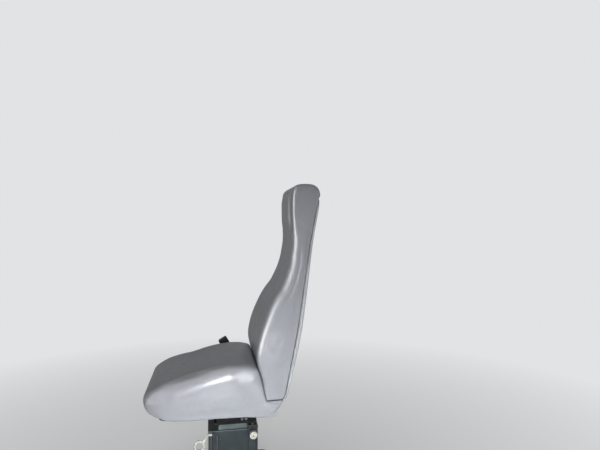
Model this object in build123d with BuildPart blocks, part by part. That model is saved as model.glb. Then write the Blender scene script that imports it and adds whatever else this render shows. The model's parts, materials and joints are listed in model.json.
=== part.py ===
from build123d import *
from math import atan2, cos, degrees, radians, sin
import os

# Attendant seat of an ambulance: a high-backed vinyl seat that slides on two tracks over a swivelling pedestal.
# Millimetres. The sitter faces -Y, the sitter's left is +X, and +Z is up.
# The origin is on the floor, on the swivel axis, in the middle of the floor plate.

# Floor plate and pedestal box
PLATE_SIZE = 330.0
PLATE_T = 8.0
PLATE_CORNER = 25.0
BOLT_SPACING = 270.0
BOLT_HOLE_R = 5.5
BOX_WIDTH = 220.0
BOX_LENGTH = 200.0
BOX_TOP = 224.0
BOX_WALL = 3.0
BOX_CORNER = 12.0
RIB_R = 5.0
RIB_MARGIN = 15.0
RIB_SETBACKS = (13.0, 38.0)
GUSSET_T = 5.0
GUSSET_HEIGHT = 70.0
GUSSET_REACH = 45.0
GUSSET_TOE = 8.0

# Swivel housing, bearing and pivot
FLANGE_T = 4.0
FLANGE_OVERHANG = 1.5
BOSS_WIDTH = 204.0
BOSS_LENGTH = 124.0
BOSS_HEIGHT = 24.0
BOSS_TAPER = 20.0
BOSS_CORNER = 10.0
BOSS_TOP_R = 3.0
HOUSING_WALL = 5.0
HUB_R = 30.0
RACE_OUTER_R = 60.0
RACE_INNER_R = 42.0
RACE_T = 4.0
PIVOT_R = 12.0
PIVOT_DEPTH = 16.0
PIVOT_HEAD_R = 20.0
PIVOT_HEAD_T = 7.0
PIVOT_GAP = 0.1
RUN_GAP = 0.3

# Swivel release: a rod lever with a finger ring at the front
LEVER_ROD_R = 4.6
LEVER_STANDOFF = 8.0
LEVER_SETBACK = 26.0
LEVER_BEND_REACH = 3.0
LEVER_BEND_R = 10.0
LEVER_BLOCK_LENGTH = 12.0
LEVER_BLOCK_WIDTH = 15.0
LEVER_BLOCK_HEIGHT = 14.0
RING_R = 18.5
RING_REACH = 34.0
RING_Z = 176.0
RING_JOIN = 40.0

# Swivel lock: a channel at the rear with a pin under the turntable and a pull knob
CASE_START = 61.0
CASE_LENGTH = 32.0
CASE_DEPTH = 22.0
CASE_BOTTOM = 60.0
CASE_TOP = 250.0
CASE_CHAMFER = 6.0
CASE_WALL = 2.5
LOCK_PIN_R = 5.0
LOCK_PIN_LENGTH = 22.0
LOCK_PIN_GAP = 1.5
KNOB_Z = 220.0
KNOB_R = 15.0
KNOB_LENGTH = 24.0
KNOB_EDGE_R = 3.0
KNOB_HOLE_R = 5.0
KNOB_HOLE_DEPTH = 18.0
PLUNGER_R = 6.0
PLUNGER_LENGTH = 9.0

# Turntable and risers
TABLE_WIDTH = 250.0
TABLE_FRONT = -78.0
TABLE_REAR = 94.0
TABLE_T = 6.0
TABLE_CORNER = 20.0
RISER_WIDTH = 36.0
RISER_FRONT = -67.0
RISER_REAR = 88.0
RISER_HEIGHT = 31.7
RISER_WALL = 3.0
RISER_BOLT_Y = (34.0, 50.0)
RISER_BOLT_Z = 12.5
RISER_BOLT_FLATS = 10.0
RISER_BOLT_HEAD = 5.0

# Slide tracks with a row of latch slots, and the runners inside them
TRACK_SPREAD = 107.0
TRACK_WIDTH = 40.0
TRACK_HEIGHT = 14.0
TRACK_LENGTH = 340.0
TRACK_WALL = 2.5
TRACK_LIP = 8.0
LATCH_PITCH = 12.5
LATCH_SLOT = 6.0
LATCH_SLOT_HEIGHT = 5.0
LATCH_COUNT = 17
RUNNER_FRONT = -220.0
RUNNER_FOOT_T = 4.0
RUNNER_WEB = 10.0
RUNNER_HEAD = 30.0
RUNNER_HEAD_T = 3.0
RUNNER_RISE = 12.0

# Seat board
BOARD_WIDTH = 410.0
BOARD_FRONT = -285.0
BOARD_BACK = 118.0
BOARD_T = 12.0
BOARD_CORNER = 35.0
VENT_R = 11.0
VENT_SPACING = (110.0, 150.0)

# Slide release: a bent bar across the front, turning in clips, with a toothed latch on each arm
BAR_R = 4.0
BAR_SPREAD = 140.0
BAR_FRONT = -282.0
BAR_BACK = -40.0
BAR_DROP = 11.0
BAR_BEND_R = 24.0
CLIP_Y = (-160.0, -60.0)
CLIP_WIDTH = 16.0
CLIP_LENGTH = 14.0
CLIP_GAP = 0.2
LATCH_Y = -110.0
LATCH_TEETH = 3
LATCH_TOOTH = 4.0
LATCH_T = 3.0
LATCH_GAP = 1.0

# Shell: a formed sheet from under the seat board, round the heel and up the rear of the backrest.
# Its outside passes through the heel, the knee and the foot, as (y, z).
SHELL_T = 5.0
SHELL_INSET = 3.0
SHELL_LAP = 34.0
HEEL_Y = 135.0
KNEE = (165.0, 338.0)
FOOT = (200.0, 397.0)
REAR_SLOPE = 0.2
SHELL_TOP = 1170.0
SHELL_BEND_R = 20.0

# Back irons: flat bars on the board that carry the backrest inside the cushions
IRON_SPREAD = 110.0
IRON_WIDTH = 36.0
IRON_T = 6.0
IRON_FRONT = -60.0
IRON_TOP = 850.0

# Seat cushion, the side outline as (y, z)
SEAT_WIDTH = 490.0
SEAT_BOTTOM = 325.0
SEAT_CHIN_START = -200.0
SEAT_CHIN = ((-256.0, 331.0), (-304.0, 347.0), (-336.0, 370.0))
SEAT_NOSE = (-345.0, 394.0)
SEAT_TOP = ((-335.0, 417.0), (-304.0, 437.0), (-236.0, 457.0), (-140.0, 483.0), (-66.0, 500.0), (10.0, 508.0))
SEAT_REAR = 498.0
SEAT_FALL = -0.25
SEAT_EDGE_R = 24.0
SOFT_GAP = 0.4

# Back cushion, the side outline as (y, z) and the front outline as widths and heights
BACK_TOE = (120.5, 382.0)
BACK_LAP = (91.0, 502.0)
BACK_LUMBAR = (84.0, 545.0)
BACK_FRONT = ((108.0, 650.0), (144.0, 740.0), (194.0, 816.0), (226.0, 910.0), (238.0, 1010.0), (241.0, 1120.0))
BACK_BROW = (250.0, 1206.0)
BACK_CROWN = ((261.0, 1225.0), (296.0, 1233.0), (336.0, 1225.0))
BACK_TOP = 1234.0
BACK_NAPE = 1186.0
BACK_WIDTH = 480.0
HEAD_WIDTH = 300.0
TAPER_START = 650.0
TAPER_END = 990.0
SHOULDER_R = 300.0
NECK_R = 350.0
HEAD_CORNER = 55.0

# Belt buckle on the sitter's right
ANCHOR_Y = 64.0
ANCHOR_WIDTH = 30.0
ANCHOR_T = 4.0
ANCHOR_STANDOFF = 6.0
ANCHOR_RISE = 36.0
ANCHOR_ROOT = 175.0
ANCHOR_BEND_R = 6.0
STALK_T = 4.0
STALK_WIDTH = 24.0
BUCKLE_CENTRE = (-22.0, 492.0)
BUCKLE_LENGTH = 62.0
BUCKLE_WIDTH = 42.0
BUCKLE_T = 18.0
BUCKLE_CORNER = 7.0
BUCKLE_EDGE_R = 2.5
BUTTON_LENGTH = 15.0
BUTTON_WIDTH = 28.0
BUTTON_DEPTH = 1.5
TONGUE_WIDTH = 26.0
TONGUE_T = 3.0
TONGUE_DEPTH = 22.0

# Heights and places that follow from the stack of pieces
flange_top = BOX_TOP + FLANGE_T
housing_top = flange_top + BOSS_HEIGHT
table_bottom = housing_top + RACE_T + RUN_GAP
table_top = table_bottom + TABLE_T
track_bottom = table_top + RISER_HEIGHT
track_top = track_bottom + TRACK_HEIGHT
board_bottom = track_top + RUNNER_RISE
board_length = BOARD_BACK - BOARD_FRONT
board_middle = (BOARD_BACK + BOARD_FRONT) / 2
shell_front = BOARD_BACK - SHELL_LAP
seat_half = SEAT_WIDTH / 2
back_half = BACK_WIDTH / 2
head_half = HEAD_WIDTH / 2
anchor_reach = seat_half + ANCHOR_STANDOFF + ANCHOR_T
sides = (("left", 1), ("right", -1))


def keep(part, name):
    """Labels a finished piece and writes it."""
    part.label = name
    export_step(part, f"parts/{name}.step")


def rear_line(z):
    """Y of the backrest's rear face at height z."""
    return FOOT[0] + REAR_SLOPE * (z - FOOT[1])


def shell_line(inset, front, top):
    """The shell's outside from below the board to the head, or the line an inset inside it, as (y, z)."""
    level = board_bottom - SHELL_T
    points = [Vector(front, level), Vector(HEEL_Y, level), Vector(*KNEE), Vector(*FOOT), Vector(rear_line(top), top)]
    runs = [after - before for before, after in zip(points, points[1:])]
    normals = [Vector(-run.Y, run.X).normalized() for run in runs]
    corners = zip(points[1:], normals, normals[1:])
    return [
        points[0] + normals[0] * inset,
        *(corner + (before + after) * (inset / (1 + before.dot(after))) for corner, before, after in corners),
        points[-1] + normals[-1] * inset,
    ]


def bent_sheet(inset, thickness, front, top, middle, width):
    """A sheet that follows the shell, its centre line an inset inside the shell's outside."""
    with BuildPart(mode=Mode.PRIVATE) as sheet:
        with BuildSketch(Plane.YZ.offset(middle - width / 2)):
            with BuildLine():
                FilletPolyline(*shell_line(inset, front, top), radius=SHELL_BEND_R)
            trace(line_width=thickness)
        extrude(amount=width)
    return sheet.part


def back_outline(inset, bottom, top):
    """The backrest seen from the front, or the line an inset inside it."""
    with BuildSketch(Plane.XZ, mode=Mode.PRIVATE) as outline:
        with BuildLine():
            Polyline(
                (-back_half + inset, bottom),
                (-back_half + inset, TAPER_START),
                (-head_half + inset, TAPER_END),
                (-head_half + inset, top),
                (head_half - inset, top),
                (head_half - inset, TAPER_END),
                (back_half - inset, TAPER_START),
                (back_half - inset, bottom),
                close=True,
            )
        make_face()
        for rank, radius in ((1, SHOULDER_R), (-2, NECK_R), (-1, HEAD_CORNER - inset)):
            fillet(outline.vertices().group_by(Axis.Y)[rank], radius=radius)
    return outline.sketch


os.makedirs("parts", exist_ok=True)

# Floor plate with its four fixing holes
with BuildPart() as floor_plate:
    with BuildSketch():
        RectangleRounded(PLATE_SIZE, PLATE_SIZE, PLATE_CORNER)
        with GridLocations(BOLT_SPACING, BOLT_SPACING, 2, 2):
            Circle(BOLT_HOLE_R, mode=Mode.SUBTRACT)
    extrude(amount=PLATE_T)
keep(floor_plate.part, "floor_plate")

# Pedestal box of folded sheet, with pressed ribs near the front corners
box_height = BOX_TOP - PLATE_T
rib_places = [(hand * BOX_WIDTH / 2, setback - BOX_LENGTH / 2) for _, hand in sides for setback in RIB_SETBACKS]
with BuildPart() as pedestal_box:
    with BuildSketch(Plane.XY.offset(PLATE_T)):
        RectangleRounded(BOX_WIDTH, BOX_LENGTH, BOX_CORNER)
    extrude(amount=box_height)
    with BuildSketch(Plane.XY.offset(PLATE_T + RIB_MARGIN)):
        with Locations(*rib_places):
            Circle(RIB_R)
    extrude(amount=box_height - 2 * RIB_MARGIN)
    with BuildSketch(Plane.XY.offset(PLATE_T)):
        RectangleRounded(BOX_WIDTH - 2 * BOX_WALL, BOX_LENGTH - 2 * BOX_WALL, BOX_CORNER - BOX_WALL)
    extrude(amount=box_height, mode=Mode.SUBTRACT)
keep(pedestal_box.part, "pedestal_box")

# Gussets between the box and the floor plate, one on each side
for gusset_name, turn, wall in (
    ("left", 0, BOX_WIDTH / 2),
    ("rear", 90, BOX_LENGTH / 2),
    ("right", 180, BOX_WIDTH / 2),
    ("front", 270, BOX_LENGTH / 2),
):
    with BuildPart() as gusset:
        with BuildSketch(Plane.XZ.rotated((0, 0, turn))):
            with BuildLine():
                Polyline(
                    (wall, PLATE_T),
                    (wall + GUSSET_REACH, PLATE_T),
                    (wall + GUSSET_REACH, PLATE_T + GUSSET_TOE),
                    (wall + GUSSET_TOE, PLATE_T + GUSSET_HEIGHT),
                    (wall, PLATE_T + GUSSET_HEIGHT),
                    close=True,
                )
            make_face()
        extrude(amount=GUSSET_T / 2, both=True)
    keep(gusset.part, f"gusset_{gusset_name}")

# Swivel housing: a flanged cover with a tapered boss and a hub for the pivot
with BuildPart() as swivel_housing:
    with BuildSketch(Plane.XY.offset(BOX_TOP)):
        RectangleRounded(
            BOX_WIDTH + 2 * FLANGE_OVERHANG, BOX_LENGTH + 2 * FLANGE_OVERHANG, BOX_CORNER + FLANGE_OVERHANG
        )
    extrude(amount=FLANGE_T)
    with BuildSketch(Plane.XY.offset(flange_top)):
        RectangleRounded(BOSS_WIDTH, BOSS_LENGTH, BOSS_CORNER)
    extrude(amount=BOSS_HEIGHT, taper=BOSS_TAPER)
    fillet(swivel_housing.faces().sort_by(Axis.Z)[-1].edges(), radius=BOSS_TOP_R)
    with BuildSketch(Plane.XY.offset(BOX_TOP)):
        RectangleRounded(BOSS_WIDTH - 4 * HOUSING_WALL, BOSS_LENGTH - 4 * HOUSING_WALL, BOSS_CORNER)
        Circle(HUB_R, mode=Mode.SUBTRACT)
    extrude(amount=housing_top - HOUSING_WALL - BOX_TOP, mode=Mode.SUBTRACT)
    with BuildSketch(Plane.XY.offset(housing_top)):
        Circle(PIVOT_R + PIVOT_GAP)
    extrude(amount=-PIVOT_DEPTH, mode=Mode.SUBTRACT)
keep(swivel_housing.part, "swivel_housing")

# Bearing race that the turntable runs on
with BuildPart() as bearing_race:
    with BuildSketch(Plane.XY.offset(housing_top)):
        Circle(RACE_OUTER_R)
        Circle(RACE_INNER_R, mode=Mode.SUBTRACT)
    extrude(amount=RACE_T)
keep(bearing_race.part, "bearing_race")

# Pivot post, with its head over the turntable
with BuildPart() as pivot_post:
    with BuildSketch(Plane.XY.offset(housing_top - PIVOT_DEPTH)):
        Circle(PIVOT_R)
    extrude(amount=table_top + RUN_GAP - housing_top + PIVOT_DEPTH)
    with BuildSketch(Plane.XY.offset(table_top + RUN_GAP)):
        RegularPolygon(PIVOT_HEAD_R, 6)
    extrude(amount=PIVOT_HEAD_T)
keep(pivot_post.part, "pivot_post")

# Lever block under the flange, and the rod lever with its finger ring
lever_x = BOX_WIDTH / 2 + LEVER_STANDOFF
lever_level = BOX_TOP - LEVER_BLOCK_HEIGHT / 2
box_front = -BOX_LENGTH / 2
lever_root = box_front + LEVER_SETBACK
lever_bend = box_front - LEVER_BEND_REACH
ring_centre = (box_front - RING_REACH, RING_Z)
with BuildPart() as lever_block:
    with BuildSketch(Plane.YZ.offset(BOX_WIDTH / 2)):
        with Locations((lever_root - LEVER_BLOCK_LENGTH / 2, lever_level)):
            Rectangle(LEVER_BLOCK_LENGTH, LEVER_BLOCK_HEIGHT)
    extrude(amount=LEVER_BLOCK_WIDTH)
    with BuildSketch(Plane.XZ.offset(-lever_root)):
        with Locations((lever_x, lever_level)):
            Circle(LEVER_ROD_R)
    extrude(amount=LEVER_BLOCK_LENGTH, mode=Mode.SUBTRACT)
keep(lever_block.part, "lever_block")

ring_join = Vector(cos(radians(RING_JOIN)), sin(radians(RING_JOIN))) * RING_R + Vector(*ring_centre)
ring_middle = (lever_x, ring_centre[0] + RING_R, ring_centre[1])
ring_section = Plane(origin=ring_middle, x_dir=(0, -1, 0), z_dir=(0, 0, 1))
with BuildPart() as release_lever:
    with BuildLine(Plane.YZ.offset(lever_x)) as lever_line:
        FilletPolyline(
            (lever_root, lever_level), (lever_bend, lever_level), (ring_join.X, ring_join.Y), radius=LEVER_BEND_R
        )
    with BuildSketch(lever_line.line ^ 0):
        Circle(LEVER_ROD_R)
    sweep()
    with BuildSketch(ring_section):
        Circle(LEVER_ROD_R)
    revolve(axis=Axis((lever_x, *ring_centre), (1, 0, 0)))
keep(release_lever.part, "release_lever")

# Lock case: a folded channel with holes for the pin above and the knob's plunger at its face
case_x = BOX_WIDTH / 2 + FLANGE_OVERHANG
case_end = CASE_START + CASE_LENGTH
case_face = case_x + CASE_DEPTH
pin_place = (case_x + CASE_DEPTH / 2, CASE_START + CASE_LENGTH / 2)
knob_plane = Plane(origin=(case_face, pin_place[1], KNOB_Z), z_dir=(1, 0, 0))
with BuildPart() as lock_case:
    with BuildSketch(Plane.XY.offset(CASE_BOTTOM)):
        with BuildLine():
            Polyline(
                (case_x, CASE_START),
                (case_face, CASE_START),
                (case_face, case_end - CASE_CHAMFER),
                (case_face - CASE_CHAMFER, case_end),
                (case_x, case_end),
                close=True,
            )
        make_face()
    extrude(amount=CASE_TOP - CASE_BOTTOM)
    offset(amount=-CASE_WALL, openings=lock_case.faces().sort_by(Axis.Z)[0])
    with BuildSketch(Plane.XY.offset(CASE_TOP)):
        with Locations(pin_place):
            Circle(LOCK_PIN_R + CLIP_GAP)
    extrude(amount=-2 * CASE_WALL, mode=Mode.SUBTRACT)
    with BuildSketch(knob_plane):
        Circle(PLUNGER_R + CLIP_GAP)
    extrude(amount=-2 * CASE_WALL, mode=Mode.SUBTRACT)
keep(lock_case.part, "lock_case")

# Lock pin, drawn back below the turntable
with BuildPart() as lock_pin:
    with BuildSketch(Plane.XY.offset(table_bottom - LOCK_PIN_GAP)):
        with Locations(pin_place):
            Circle(LOCK_PIN_R)
    extrude(amount=-LOCK_PIN_LENGTH)
    chamfer(lock_pin.edges().sort_by(Axis.Z)[-1], length=LOCK_PIN_R / 4)
keep(lock_pin.part, "lock_pin")

# Pull knob, hollow at its end
with BuildPart() as lock_knob:
    with BuildSketch(knob_plane.offset(-CASE_WALL)):
        Circle(PLUNGER_R)
    extrude(amount=CASE_WALL + PLUNGER_LENGTH)
    with BuildSketch(knob_plane.offset(PLUNGER_LENGTH)):
        Circle(KNOB_R)
    extrude(amount=KNOB_LENGTH)
    fillet(lock_knob.edges().filter_by(lambda edge: edge.length > PLUNGER_R * 7), radius=KNOB_EDGE_R)
    with BuildSketch(knob_plane.offset(PLUNGER_LENGTH + KNOB_LENGTH)):
        Circle(KNOB_HOLE_R)
    extrude(amount=-KNOB_HOLE_DEPTH, mode=Mode.SUBTRACT)
keep(lock_knob.part, "lock_knob")

# Turntable plate, with a hole for the lock pin at home and half a turn on
table_middle = (TABLE_REAR + TABLE_FRONT) / 2
with BuildPart() as turntable_plate:
    with BuildSketch(Plane.XY.offset(table_bottom)):
        with Locations((0, table_middle)):
            RectangleRounded(TABLE_WIDTH, TABLE_REAR - TABLE_FRONT, TABLE_CORNER)
        Circle(PIVOT_R + PIVOT_GAP, mode=Mode.SUBTRACT)
        with Locations(pin_place, (-pin_place[0], -pin_place[1])):
            Circle(LOCK_PIN_R + CLIP_GAP, mode=Mode.SUBTRACT)
    extrude(amount=TABLE_T)
keep(turntable_plate.part, "turntable_plate")

# Risers, their bolts, the tracks, the runners and the latches, one set on each side
track_inside = TRACK_WIDTH - 2 * TRACK_WALL
foot_bottom = track_bottom + TRACK_WALL + RUN_GAP
bar_level = board_bottom - BAR_DROP
slot_level = track_bottom + TRACK_HEIGHT / 2
for side, hand in sides:
    rail_x = hand * TRACK_SPREAD
    track_face = rail_x + hand * TRACK_WIDTH / 2

    with BuildPart() as riser:
        with BuildSketch(Plane.XZ.offset(-RISER_REAR)):
            with Locations((rail_x, table_top + RISER_HEIGHT / 2)):
                RectangleRounded(RISER_WIDTH, RISER_HEIGHT, RISER_WALL * 1.5)
                RectangleRounded(
                    RISER_WIDTH - 2 * RISER_WALL, RISER_HEIGHT - 2 * RISER_WALL, RISER_WALL / 2, mode=Mode.SUBTRACT
                )
        extrude(amount=RISER_REAR - RISER_FRONT)
    keep(riser.part, f"riser_{side}")

    with BuildPart() as riser_bolts:
        with BuildSketch(Plane.YZ.offset(rail_x + hand * RISER_WIDTH / 2)):
            with Locations(*[(y, table_top + RISER_BOLT_Z) for y in RISER_BOLT_Y]):
                RegularPolygon(RISER_BOLT_FLATS / 2, 6, major_radius=False)
        extrude(amount=hand * RISER_BOLT_HEAD)
    keep(riser_bolts.part, f"riser_bolts_{side}")

    with BuildPart() as track:
        with BuildSketch(Plane.XZ):
            with Locations((rail_x, track_bottom + TRACK_HEIGHT / 2)):
                Rectangle(TRACK_WIDTH, TRACK_HEIGHT)
                Rectangle(track_inside, TRACK_HEIGHT - 2 * TRACK_WALL, mode=Mode.SUBTRACT)
            with Locations((rail_x, track_top - TRACK_WALL / 2)):
                Rectangle(track_inside - 2 * TRACK_LIP, TRACK_WALL, mode=Mode.SUBTRACT)
        extrude(amount=TRACK_LENGTH / 2, both=True)
        with BuildSketch(Plane.YZ.offset(track_face)):
            with Locations((LATCH_Y, slot_level)):
                with GridLocations(LATCH_PITCH, 1, LATCH_COUNT, 1):
                    Rectangle(LATCH_SLOT, LATCH_SLOT_HEIGHT)
        extrude(amount=-hand * TRACK_WALL, mode=Mode.SUBTRACT)
    keep(track.part, f"slide_track_{side}")

    with BuildPart() as runner:
        with BuildSketch(Plane.XZ.offset(-RUNNER_FRONT)):
            with Locations((rail_x, foot_bottom + RUNNER_FOOT_T / 2)):
                Rectangle(track_inside - 2 * RUN_GAP, RUNNER_FOOT_T)
            with Locations((rail_x, (foot_bottom + board_bottom) / 2)):
                Rectangle(RUNNER_WEB, board_bottom - foot_bottom)
            with Locations((rail_x, board_bottom - RUNNER_HEAD_T / 2)):
                Rectangle(RUNNER_HEAD, RUNNER_HEAD_T)
        extrude(amount=RUNNER_FRONT - shell_front)
    keep(runner.part, f"slide_runner_{side}")

    latch_inner = track_face + hand * LATCH_GAP
    latch_outer = hand * (BAR_SPREAD - BAR_R)
    with BuildPart() as latch:
        with BuildSketch(Plane.XY.offset(slot_level - LATCH_T / 2)):
            with Locations(((latch_inner + latch_outer) / 2 + hand * LATCH_TOOTH / 2, LATCH_Y)):
                Rectangle(abs(latch_outer - latch_inner) - LATCH_TOOTH, LATCH_PITCH * LATCH_TEETH)
            with Locations((latch_inner + hand * LATCH_TOOTH / 2, LATCH_Y)):
                with GridLocations(1, LATCH_PITCH, 1, LATCH_TEETH):
                    Rectangle(LATCH_TOOTH, LATCH_TOOTH)
        extrude(amount=LATCH_T)
        with BuildSketch(Plane.XZ.offset(-LATCH_Y)):
            with Locations((hand * BAR_SPREAD - hand * (BAR_R + LATCH_T / 2), (slot_level + bar_level) / 2)):
                Rectangle(LATCH_T, bar_level - slot_level + LATCH_T)
        extrude(amount=LATCH_PITCH * LATCH_TEETH / 2, both=True)
    keep(latch.part, f"slide_latch_{side}")

# Seat board, with vent holes for the cushion
with BuildPart() as seat_board:
    with BuildSketch(Plane.XY.offset(board_bottom)):
        with Locations((0, board_middle)):
            RectangleRounded(BOARD_WIDTH, board_length, BOARD_CORNER)
            with GridLocations(*VENT_SPACING, 2, 2):
                Circle(VENT_R, mode=Mode.SUBTRACT)
    extrude(amount=BOARD_T)
keep(seat_board.part, "seat_board")

# Slide release bar
with BuildPart() as slide_release_bar:
    with BuildLine(Plane.XY.offset(bar_level)) as bar_line:
        FilletPolyline(
            (-BAR_SPREAD, BAR_BACK),
            (-BAR_SPREAD, BAR_FRONT),
            (BAR_SPREAD, BAR_FRONT),
            (BAR_SPREAD, BAR_BACK),
            radius=BAR_BEND_R,
        )
    with BuildSketch(bar_line.line ^ 0):
        Circle(BAR_R)
    sweep()
keep(slide_release_bar.part, "slide_release_bar")

# Clips that hold the bar under the board
clip_height = BAR_DROP + CLIP_WIDTH / 2
for side, hand in sides:
    with BuildPart() as bar_clips:
        for clip_y in CLIP_Y:
            with BuildSketch(Plane.XZ.offset(-clip_y)):
                with Locations((hand * BAR_SPREAD, board_bottom - BAR_DROP / 2)):
                    Rectangle(CLIP_WIDTH, BAR_DROP)
                with Locations((hand * BAR_SPREAD, bar_level)):
                    Circle(CLIP_WIDTH / 2)
                    Circle(BAR_R + CLIP_GAP, mode=Mode.SUBTRACT)
            extrude(amount=CLIP_LENGTH / 2, both=True)
    keep(bar_clips.part, f"bar_clips_{side}")

# Shell behind and below the cushions
with BuildPart() as back_shell:
    add(bent_sheet(SHELL_T / 2, SHELL_T, shell_front, SHELL_TOP, 0, BACK_WIDTH - 2 * SHELL_INSET))
    extrude(back_outline(SHELL_INSET, 0, SHELL_TOP), amount=-2 * BACK_WIDTH, mode=Mode.INTERSECT)
keep(back_shell.part, "back_shell")

# Back irons
iron_inset = SHELL_T + BOARD_T + IRON_T / 2
for side, hand in sides:
    with BuildPart() as back_iron:
        add(bent_sheet(iron_inset, IRON_T, IRON_FRONT, IRON_TOP, hand * IRON_SPREAD, IRON_WIDTH))
    keep(back_iron.part, f"back_iron_{side}")

# What both cushions leave free: the shell and the irons, each let out by the soft gap
with BuildPart(mode=Mode.PRIVATE) as let_in:
    let_out = 2 * SOFT_GAP
    add(bent_sheet(SHELL_T / 2, SHELL_T + let_out, shell_front - SOFT_GAP, SHELL_TOP + SOFT_GAP, 0, 2 * SEAT_WIDTH))
    for _, hand in sides:
        iron_ends = (IRON_FRONT - SOFT_GAP, IRON_TOP + SOFT_GAP)
        add(bent_sheet(iron_inset, IRON_T + let_out, *iron_ends, hand * IRON_SPREAD, IRON_WIDTH + let_out))

# Seat cushion, with a waterfall front and a heel that wraps the foot of the backrest
inside = shell_line(SHELL_T + SOFT_GAP, shell_front, SHELL_TOP)
heel_run = inside[3] - inside[2]
foot_rear = inside[2] + heel_run * ((BACK_TOE[1] - inside[2].Y) / heel_run.Y)
toe = Vector(*BACK_TOE) - Vector(SOFT_GAP, SOFT_GAP)
heel_rear = foot_rear - heel_run * (SOFT_GAP / heel_run.Y)
lap = Vector(*BACK_LAP) - Vector(*BACK_TOE)
seat_end = (BACK_TOE[0] + lap.X / lap.Y * (SEAT_REAR - BACK_TOE[1]) - SOFT_GAP, SEAT_REAR)
with BuildPart() as seat_cushion:
    with BuildSketch(Plane.YZ.offset(-seat_half)):
        with BuildLine():
            Polyline(inside[0], (shell_front - SHELL_LAP, SEAT_BOTTOM), (SEAT_CHIN_START, SEAT_BOTTOM))
            Spline(
                (SEAT_CHIN_START, SEAT_BOTTOM),
                *SEAT_CHIN,
                SEAT_NOSE,
                *SEAT_TOP,
                seat_end,
                tangents=((-1, 0), (1, SEAT_FALL)),
            )
            Polyline(seat_end, toe, heel_rear, *reversed(inside[:3]))
        make_face()
    extrude(amount=SEAT_WIDTH)
    fillet(seat_cushion.faces().filter_by(Axis.X).edges().filter_by(GeomType.BSPLINE), radius=SEAT_EDGE_R)
    add(let_in.part, mode=Mode.SUBTRACT)
    with BuildSketch(Plane.XY.offset(board_bottom)):
        with Locations((0, board_middle)):
            RectangleRounded(BOARD_WIDTH + let_out, board_length + let_out, BOARD_CORNER + SOFT_GAP)
    extrude(amount=BOARD_T + SOFT_GAP, mode=Mode.SUBTRACT)
keep(seat_cushion.part, "seat_cushion")

# Back cushion, with a neck, a crowned head and a recess for the shell
with BuildPart() as back_cushion:
    with BuildSketch(Plane.YZ.offset(-back_half)):
        with BuildLine():
            Line(BACK_TOE, BACK_LAP)
            Spline(BACK_LAP, BACK_LUMBAR, *BACK_FRONT, BACK_BROW)
            Spline(BACK_BROW, *BACK_CROWN, (rear_line(BACK_NAPE), BACK_NAPE))
            Polyline(
                (rear_line(BACK_NAPE), BACK_NAPE),
                (rear_line(SHELL_TOP + SOFT_GAP), SHELL_TOP + SOFT_GAP),
                inside[4] + Vector(0, SOFT_GAP),
                inside[3],
                foot_rear,
                BACK_TOE,
            )
        make_face()
    extrude(amount=BACK_WIDTH)
    extrude(back_outline(0, 0, BACK_TOP), amount=-2 * BACK_WIDTH, mode=Mode.INTERSECT)
    add(let_in.part, mode=Mode.SUBTRACT)
keep(back_cushion.part, "back_cushion")

# Belt anchor, bent up beside the cushion
with BuildPart() as belt_anchor:
    with BuildSketch(Plane.XZ.offset(-ANCHOR_Y)):
        with BuildLine():
            FilletPolyline(
                (-ANCHOR_ROOT, board_bottom - ANCHOR_T / 2),
                (-anchor_reach + ANCHOR_T / 2, board_bottom - ANCHOR_T / 2),
                (-anchor_reach + ANCHOR_T / 2, board_bottom + ANCHOR_RISE),
                radius=ANCHOR_BEND_R,
            )
        trace(line_width=ANCHOR_T)
    extrude(amount=ANCHOR_WIDTH / 2, both=True)
keep(belt_anchor.part, "belt_anchor")

# Belt stalk, from the anchor to the buckle
stalk_foot = Vector(ANCHOR_Y, board_bottom + ANCHOR_RISE - STALK_WIDTH / 2)
stalk_run = Vector(*BUCKLE_CENTRE) - stalk_foot
stalk_angle = degrees(atan2(stalk_run.Y, stalk_run.X))
stalk_middle = stalk_foot + stalk_run * 0.5
stalk_plane = Plane.YZ.offset(-anchor_reach - STALK_T)


def stalk_slot(gap):
    """Outline of the belt stalk, let out by a gap."""
    with BuildSketch(stalk_plane, mode=Mode.PRIVATE) as slot:
        with Locations((stalk_middle.X, stalk_middle.Y)):
            SlotCenterToCenter(stalk_run.length, STALK_WIDTH + 2 * gap, rotation=stalk_angle)
    return slot.sketch


with BuildPart() as belt_stalk:
    extrude(stalk_slot(0), amount=STALK_T)
keep(belt_stalk.part, "belt_stalk")

# Buckle, with a push button sunk in its face and a slot for the tongue
up_stalk = stalk_run.normalized()
buckle_plane = Plane(
    origin=(-anchor_reach - STALK_T / 2, *BUCKLE_CENTRE), x_dir=(0, up_stalk.X, up_stalk.Y), z_dir=(-1, 0, 0)
)
button_middle = (BUCKLE_LENGTH - BUTTON_LENGTH) / 2
with BuildPart() as belt_buckle:
    with BuildSketch(buckle_plane.offset(-BUCKLE_T / 2)):
        RectangleRounded(BUCKLE_LENGTH, BUCKLE_WIDTH, BUCKLE_CORNER)
    extrude(amount=BUCKLE_T)
    fillet(belt_buckle.faces().filter_by(Axis.X).edges(), radius=BUCKLE_EDGE_R)
    with BuildSketch(buckle_plane.offset(BUCKLE_T / 2 - BUTTON_DEPTH)):
        with Locations((button_middle, 0)):
            Rectangle(BUTTON_LENGTH, BUTTON_WIDTH)
    extrude(amount=BUTTON_DEPTH, mode=Mode.SUBTRACT)
    with BuildSketch(buckle_plane.offset(-TONGUE_T / 2)):
        with Locations(((BUCKLE_LENGTH - TONGUE_DEPTH) / 2, 0)):
            Rectangle(TONGUE_DEPTH, TONGUE_WIDTH)
    extrude(amount=TONGUE_T, mode=Mode.SUBTRACT)
    extrude(stalk_slot(CLIP_GAP), amount=STALK_T + CLIP_GAP, mode=Mode.SUBTRACT)
keep(belt_buckle.part, "belt_buckle")
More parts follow.
